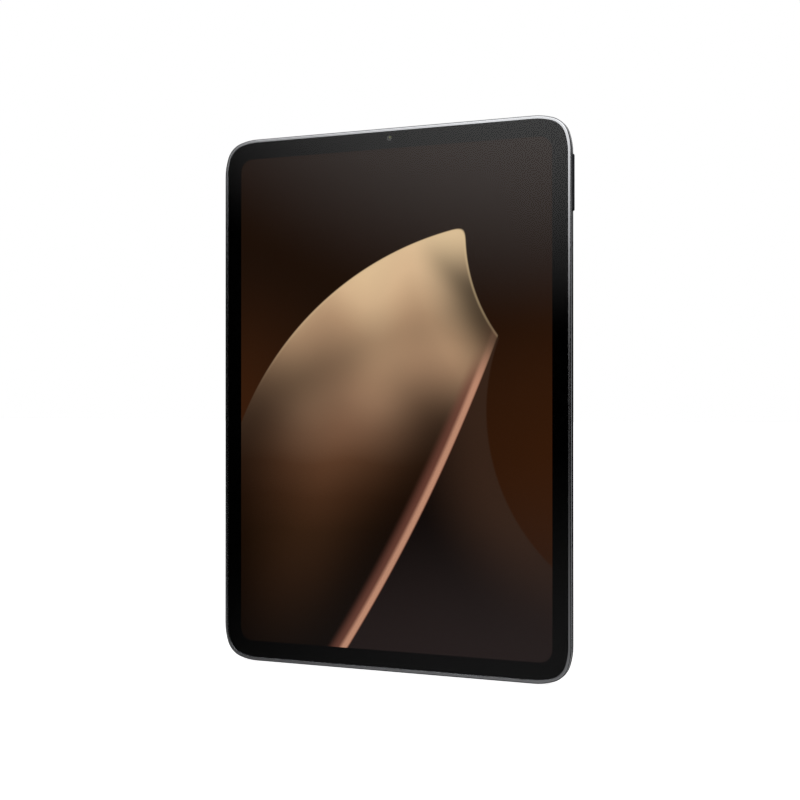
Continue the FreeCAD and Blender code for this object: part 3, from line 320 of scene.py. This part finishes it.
def lit_picture():
    """Liquid crystal picture, lit from behind: folded sheets of pale gold over warm dark brown."""
    plain = {"Base Color": "#020202", "Roughness": 0.5, "Specular IOR Level": 0.0, "Emission Strength": 1.0}
    made, tree, shader = start_material("lcd_picture", plain)
    put = functools.partial(add, tree)
    place = put("VectorMath", [put("TexCoord").outputs["Object"], screen_middle], operation="SUBTRACT")
    place = put("VectorMath", [place, (1 / MM, 0, 1 / MM)], operation="MULTIPLY")
    parts = put("SeparateXYZ", [place])
    # millimetres outside each round edge, given by its middle and radius, and height on the screen
    way = {"height": parts.outputs["Z"]}
    for name, x, z, radius in (
        ("crown", 62, -72, 152), ("hollow", 115, 75, 78), ("seam", -703, 321, 810), ("hem", 140, -5, 93),
        ("left_glow", -88, -22, 0), ("right_glow", 84, -30, 0),
    ):
        gap = put("VectorMath", [place, (x, 0, z)], operation="DISTANCE").outputs["Value"]
        way[name] = put("Math", [gap, radius], operation="SUBTRACT")
    inside = put("Math", [way["crown"], -1.0], operation="MULTIPLY")
    tip_roundness = 8.0
    way["edge"] = put("Math", [inside, way["hollow"], tip_roundness], operation="SMOOTH_MIN")
    way["beyond"] = put("Math", [way["seam"], way["hem"]], operation="MINIMUM")
    # how much each effect shows, eased from one distance to another
    share = {}
    for name, along, start, end, low, high in (
        ("left_glow", "left_glow", 95, 5, 0, 1), ("right_glow", "right_glow", 105, 10, 0, 1),
        ("dark_sheet", "beyond", -0.4, 0.6, 0, 1), ("below_tip", "height", 28, 27, 0, 1),
        ("hem_light", "hem", 42, 2, 0, 1), ("foot", "height", -45, -115, 0, 1),
        ("main_sheet", "edge", -0.4, 0.4, 0, 1), ("left_of_seam", "seam", 0.35, -0.35, 0, 1),
        ("crown_shade", "crown", 0, -60, 0.15, 1), ("crown_lit", "height", -20, 60, 0, 1),
        ("hollow_shade", "hollow", 0, 26, 0.12, 1), ("hollow_lit", "height", 45, 78, 0, 1),
        ("seam_shade", "seam", -6, -55, 0.15, 1), ("seam_lit", "height", -20, 25, 0, 1),
        ("outline", "edge", 1.4, 0.3, 0, 0.4), ("outline_top", "height", 0, 60, 0, 1),
        ("seam_glow", "seam", -9.5, -4, 0, 0.7), ("seam_end", "seam", 0.2, -0.9, 0, 1),
        ("crease", "seam", -4.4, -2.0, 0, 1), ("below_fold", "height", 27, 5, 0.1, 1),
        ("ripple", "height", -40, 60, 1.0, 8.0), ("speckle", "height", 40, -60, 0.05, 0.5),
    ):
        given = {"Value": way[along], "From Min": start, "From Max": end, "To Min": low, "To Max": high}
        share[name] = put("MapRange", given, interpolation_type="SMOOTHSTEP")
    # the main sheet gets darker downwards, with a slow silk ripple across it
    ripple_slant, ripple_width, ripple_start = 0.18, 46, 1.8
    bend = put("Math", [parts.outputs["Z"], ripple_slant, parts.outputs["X"]], operation="MULTIPLY_ADD")
    phase = put("Math", [bend, 2 * math.pi / ripple_width, ripple_start], operation="MULTIPLY_ADD")
    wave = put("Math", [phase], operation="SINE")
    lifted = put("Math", [wave, share["ripple"], way["height"]], operation="MULTIPLY_ADD")
    tone = put("MapRange", {"Value": lifted, "From Min": -120.0, "From Max": 80.0})
    sheet = put("ValToRGB", [tone], stops=[
        (0.0, "#2a1a10"), (1.0, "#dcbf96"), (0.29, "#3a2415"), (0.37, "#482d1c"), (0.45, "#5e3e2a"),
        (0.53, "#815f48"), (0.6, "#9c795e"), (0.76, "#bd9977"), (0.86, "#d6b48e"),
    ])
    fold_softness = 0.4
    for side in ("crown", "hollow", "seam"):
        shaded, lit = share[side + "_shade"], share[side + "_lit"]
        strength = put("Math", [shaded, lit, fold_softness], operation="SMOOTH_MAX")
        sheet = put("VectorMath", [sheet, strength], operation="MULTIPLY")
    # lights and folds on each sheet, then the sheets over the ground
    painted = {"ground": linear("#1e1109"), "dark": linear("#0e0806"), "main": sheet}
    for base, above, shares in (
        ("ground", linear("#3a1e0d"), ["left_glow"]),
        ("ground", linear("#341a0a"), ["right_glow"]),
        ("dark", linear("#36241a"), ["hem_light"]),
        ("dark", linear("#1f1615"), ["foot"]),
        ("main", linear("#d9bd92"), ["outline", "outline_top"]),
        ("main", linear("#74473a"), ["seam_glow", "below_fold"]),
        ("main", linear("#bd8a70"), ["crease", "seam_end", "below_fold"]),
        ("ground", "dark", ["dark_sheet", "below_tip"]),
        ("ground", "main", ["main_sheet", "left_of_seam"]),
    ):
        strength = share[shares[0]]
        for other in shares[1:]:
            strength = put("Math", [strength, share[other]], operation="MULTIPLY")
        above = painted[above] if isinstance(above, str) else above
        painted[base] = put("MixRGB", [strength, painted[base], above])
    # a fine speckle, strongest in the dark lower part
    speckle_width = 0.6
    speckle = put("TexNoise", {"Vector": place, "Scale": 1 / speckle_width, "Detail": 4.0})
    around = put("Math", [speckle, 0.5], operation="SUBTRACT")
    lift = put("Math", [around, share["speckle"], 1.0], operation="MULTIPLY_ADD")
    picture = put("VectorMath", [painted["ground"], lift], operation="MULTIPLY")
    tree.links.new(picture.outputs[0], shader.inputs["Emission Color"])
    return made


# ---- one finish for each material slot of the record ----
finishes = {
    "housing_aluminium": blasted_aluminium("blasted_grey_aluminium", "#d6d7da", "#e0e1e4", (0.13, 0.18)),
    "key_aluminium": blasted_aluminium("blasted_grey_key_aluminium", "#3c3d40", "#4a4b4e", (0.26, 0.36)),
    "ring_aluminium": blasted_aluminium("blasted_grey_camera_plate", "#6b6c70", "#7b7c80", (0.22, 0.3)),
    "antenna_plastic": moulded_plastic("grey_antenna_strip_plastic", "#8b8c8f", "#97989b", (0.38, 0.48)),
    "cover_glass": clear_glass("polished_cover_glass"),
    "lens_glass": coated_lens_glass(),
    "black_print": screen_print(),
    "glue_black": foam_tape(),
    "clear_glue": clear_glass("clear_optical_glue"),
    "display": lit_picture(),
    "light_guide_plastic": light_guide(),
    "tray_steel": rolled_sheet("rolled_stainless_sheet", "#8e8e8c", "#b4b4b1"),
    "plate_aluminium": rolled_sheet("rolled_aluminium_sheet", "#a9aaad", "#cfd0d2"),
    "board_laminate": solder_mask_board(),
    "chip_epoxy": moulded_plastic("moulded_chip_epoxy", "#17181a", "#242528", (0.5, 0.65)),
    "shield_steel": plated_metal("nickel_plated_shield", "#b3b1aa", "#cbc9c3", (0.25, 0.34)),
    "graphite": graphite_film(),
    "battery_foil": battery_pouch(),
    "ribbon_polyimide": copper_ribbon(),
    "port_steel": drawn_steel("drawn_stainless_port", "#8c8c8b", "#a9a9a7"),
    "port_plastic": moulded_plastic("glass_filled_nylon", "#101011", "#1a1a1c", (0.45, 0.6)),
    "contact_gold": plated_metal("gold_plated_contacts", "#c29a45", "#dfbd6c", (0.2, 0.28)),
    "speaker_plastic": moulded_plastic("moulded_speaker_nylon", "#141516", "#1f2022", (0.5, 0.62)),
    "sound_mesh": sound_mesh(),
    "sensor_plastic": moulded_plastic("dark_clear_sensor_epoxy", "#120c14", "#1a121d", (0.08, 0.14)),
    "camera_black": moulded_plastic("matt_black_camera_barrel", "#09090a", "#121214", (0.55, 0.7)),
    "flash_plastic": milky_polycarbonate(),
    "magnet_nickel": plated_metal("nickel_plated_magnet", "#9c9b96", "#b5b4ae", (0.2, 0.3)),
    "screw_steel": plated_metal("black_zinc_plated_screw", "#303134", "#45464a", (0.3, 0.42)),
    "dome_steel": rolled_sheet("stamped_spring_steel", "#a5a5a3", "#c8c8c5"),
}
for part in frame["record"]["subparts"]:
    paint(finishes[part["material_slot"]], part["node"])
paint(turned_aluminium("turned_lens_ring_aluminium", "#8d8e91", "#b2b3b6"), "lens_ring")
paint(clear_glass("rear_window_glass"), "lens_window")


# ---- glass stack ----
def bonded_glass():
    """Cover glass with the clear glue behind the picture, as one optical block.

    Its back lies inside the print, and behind the picture it reaches into the cell, so that light
    meets no air gap on its way.
    """
    print_depth = 0.012 * MM
    glue_depth = 0.2 * MM
    blind_edge = 1.0 * MM  # of the cell, outside the picture and under the print
    skin = 0.01 * MM
    shape = bmesh.new()
    shape.from_mesh(nodes["cover_glass"].data)
    bmesh.ops.remove_doubles(shape, verts=shape.verts, dist=MERGE)
    back = [v for v in shape.verts if v.co.y > glass_back - skin]
    bmesh.ops.translate(shape, verts=back, vec=(0, print_depth, 0))
    left, right = cell_low.x + blind_edge, cell_high.x - blind_edge
    low, high = cell_low.z + blind_edge, cell_high.z - blind_edge
    for place, normal in (((left, 0, 0), (1, 0, 0)), ((right, 0, 0), (1, 0, 0)),
                          ((0, 0, low), (0, 0, 1)), ((0, 0, high), (0, 0, 1))):
        everything = shape.verts[:] + shape.edges[:] + shape.faces[:]
        bmesh.ops.bisect_plane(shape, geom=everything, plane_co=place, plane_no=normal, dist=CUT_REACH)
    behind = []
    for face in shape.faces:
        centre = face.calc_center_median()
        inside = left < centre.x < right and low < centre.z < high
        if inside and centre.y > glass_back - skin:
            behind.append(face)
    deeper = bmesh.ops.extrude_face_region(shape, geom=behind)
    bmesh.ops.delete(shape, geom=behind, context="FACES_ONLY")
    moved = [item for item in deeper["geom"] if isinstance(item, bmesh.types.BMVert)]
    bmesh.ops.translate(shape, verts=moved, vec=(0, glue_depth - print_depth, 0))
    bmesh.ops.recalc_face_normals(shape, faces=shape.faces)
    finish_piece(shape, "bonded_cover_glass", finishes["cover_glass"],
                 ("cover_glass", "optical_glue"), smooth=False)


# ---- rear camera and flash ----
def turned(profile, x, z):
    """Shape turned round an axis along Y: the profile's points are (radius, depth)."""
    shape = bmesh.new()
    corners = [shape.verts.new((x + radius, depth, z)) for radius, depth in profile]
    lines = [shape.edges.new(pair) for pair in zip(corners, corners[1:])]
    if profile[0][0] > 0:
        lines.append(shape.edges.new((corners[-1], corners[0])))
    bmesh.ops.spin(shape, geom=corners + lines, cent=(x, 0, z), axis=(0, 1, 0), angle=2 * math.pi,
                   steps=TURN_STEPS, use_merge=True)
    bmesh.ops.remove_doubles(shape, verts=shape.verts, dist=MERGE)
    bmesh.ops.recalc_face_normals(shape, faces=shape.faces)
    return shape


def dome(radius, rise, top):
    """Profile of a shallow dome from its crown to its rim."""
    ball = (radius ** 2 + rise ** 2) / (2 * rise)
    line = []
    for number in range(DOME_STEPS + 1):
        away = radius * number / DOME_STEPS
        line.append((away, top - ball + math.sqrt(ball ** 2 - away ** 2)))
    return line


def rear_lens():
    """Lens stack of the rear camera: domed front element, iris, inner element and stepped baffle."""
    x, z = window_middle.x, window_middle.z
    radius = (rear_lens_high.x - rear_lens_low.x) / 2
    top, seat = rear_lens_high.y, rear_lens_low.y
    glass, black = finishes["lens_glass"], finishes["camera_black"]

    rise, edge = 0.3 * MM, 0.25 * MM
    rim = top - rise - edge
    hollow = 0.2 * edge
    front = dome(radius, rise, top) + [(radius, rim), (0, rim - hollow)]
    finish_piece(turned(front, x, z), "rear_lens_front_element", glass, ("rear_camera_lens",))

    hole = 0.95 * MM
    iris_back, iris_front = seat + 0.1 * MM, seat + 0.28 * MM
    inner_rise, inner_gap, foot = 0.12 * MM, 0.04 * MM, seat + 0.02 * MM
    inner = dome(hole, inner_rise, iris_front - inner_gap) + [(hole, foot), (0, foot)]
    finish_piece(turned(inner, x, z), "rear_lens_inner_element", glass)

    bevel = 0.18 * MM
    iris = [(hole, iris_back), (radius, iris_back), (radius, iris_front), (hole + bevel, iris_front)]
    finish_piece(turned(iris, x, z), "rear_lens_iris", black, smooth=False)

    # steps up the cone of the barrel keep stray light off the lens
    step_count = 6
    run, climb = 0.25 * MM, 0.125 * MM
    away, depth = radius + 0.05 * MM, top - rise + 0.025 * MM
    stairs = [(away, depth)]
    for _ in range(step_count):
        depth += climb
        stairs.append((away, depth))
        away += run
        stairs.append((away, depth))
    finish_piece(turned(stairs, x, z), "rear_barrel_baffle", black, smooth=False)


def flash_cover():
    """Flash lens with ring-shaped ridges on its inner face."""
    x, z = (flash_low.x + flash_high.x) / 2, (flash_low.z + flash_high.z) / 2
    radius = (flash_high.x - flash_low.x) / 2
    chamfer, wall = 0.1 * MM, 0.3 * MM
    front, back = flash_high.y, flash_low.y
    ridge, height = 0.3 * MM, 0.4 * MM
    profile = [(0, front), (radius - chamfer, front), (radius, front - chamfer), (radius, back)]
    away = radius - wall
    valley = (front + back) / 2
    profile.append((away, back))
    while away > ridge:
        profile.append((away, valley))
        away -= ridge
        profile.append((away, valley - height))
    profile.append((0, valley))
    finish_piece(turned(profile, x, z), "flash_ridged_lens", finishes["flash_plastic"],
                 ("flash_lens",), smooth=False)


bonded_glass()
rear_lens()
flash_cover()

# ---- camera, floor and light ----
CAMERA_AZIMUTH = 21.93
CAMERA_DISTANCE = 0.5819
CAMERA_HEIGHT = 0.1232
CAMERA_LENS = 56.52
CAMERA_AIM = Vector((0.0044, 0.0, 0.1253))
FLOOR_SIZE = 8.0


def make_camera():
    """Camera to the right of the screen's front, level with its middle."""
    made = bpy.data.objects.new("camera", bpy.data.cameras.new("camera"))
    bpy.context.scene.collection.objects.link(made)
    turn = math.radians(CAMERA_AZIMUTH)
    made.location = (CAMERA_DISTANCE * math.sin(turn), -CAMERA_DISTANCE * math.cos(turn), CAMERA_HEIGHT)
    made.rotation_mode = "QUATERNION"
    made.rotation_quaternion = (CAMERA_AIM - made.location).to_track_quat("-Z", "Y")
    made.data.lens = CAMERA_LENS
    made.data.sensor_width = 36.0
    made.data.clip_start = 0.01
    bpy.context.scene.camera = made


def make_floor():
    """Plain white floor under the tablet."""
    shape = bmesh.new()
    bmesh.ops.create_grid(shape, x_segments=1, y_segments=1, size=FLOOR_SIZE)
    mesh = bpy.data.meshes.new("floor")
    shape.to_mesh(mesh)
    shape.free()
    floor = bpy.data.objects.new("floor", mesh)
    bpy.context.scene.collection.objects.link(floor)
    mesh.materials.append(start_material("white_floor", {
        "Base Color": "#e8e8e8", "Roughness": 0.9, "Emission Color": "#ffffff", "Emission Strength": 0.9,
    })[0])
    floor.visible_glossy = False
    floor.visible_transmission = False


def make_light():
    """Soft studio: broad pale cards round a dark room, on a white backdrop."""
    world = bpy.data.worlds.new("studio")
    bpy.context.scene.world = world
    world.use_nodes = True
    world.node_tree.nodes.clear()
    put = functools.partial(add, world.node_tree)
    way = put("TexCoord").outputs["Object"]
    total = 0.0
    # direction of each card, degrees within which it is full and at which it is gone, and its strength
    for toward, full, gone, strength in (
        ((-0.21, -0.86, 0.47), 6, 25, 1.55),
        ((0.3, -0.82, 0.49), 6, 25, 1.3),
        ((-0.2, -0.86, -0.47), 10, 26.5, 0.22),
        ((0.25, -0.84, -0.48), 8, 24, 0.2),
        ((0.0, 0.5, 0.87), 15, 50, 0.8),
        ((0.35, 0.79, 0.5), 8, 28, 0.3),
        ((0.64, 0.64, -0.42), 8, 24, 0.8),
        ((1.0, 0.0, 0.0), 7, 16, 0.45),
        ((-0.68, -0.68, -0.26), 6, 15, 0.35),
    ):
        near = put("VectorMath", [way, Vector(toward).normalized()], operation="DOT_PRODUCT")
        card = put("MapRange", {
            "Value": near.outputs["Value"], "To Max": strength,
            "From Min": math.cos(math.radians(gone)), "From Max": math.cos(math.radians(full)),
        }, interpolation_type="SMOOTHSTEP")
        total = put("Math", [card, total], operation="ADD")
    room = put("Background", {"Color": (1, 1, 1, 1), "Strength": total})
    backdrop = put("Background", {"Color": (1, 1, 1, 1), "Strength": 1.0})
    seen = put("LightPath").outputs["Is Camera Ray"]
    put("OutputWorld", {"Surface": put("MixShader", [seen, room, backdrop])})
    bpy.context.scene.view_settings.view_transform = "Standard"


make_camera()
make_floor()
make_light()
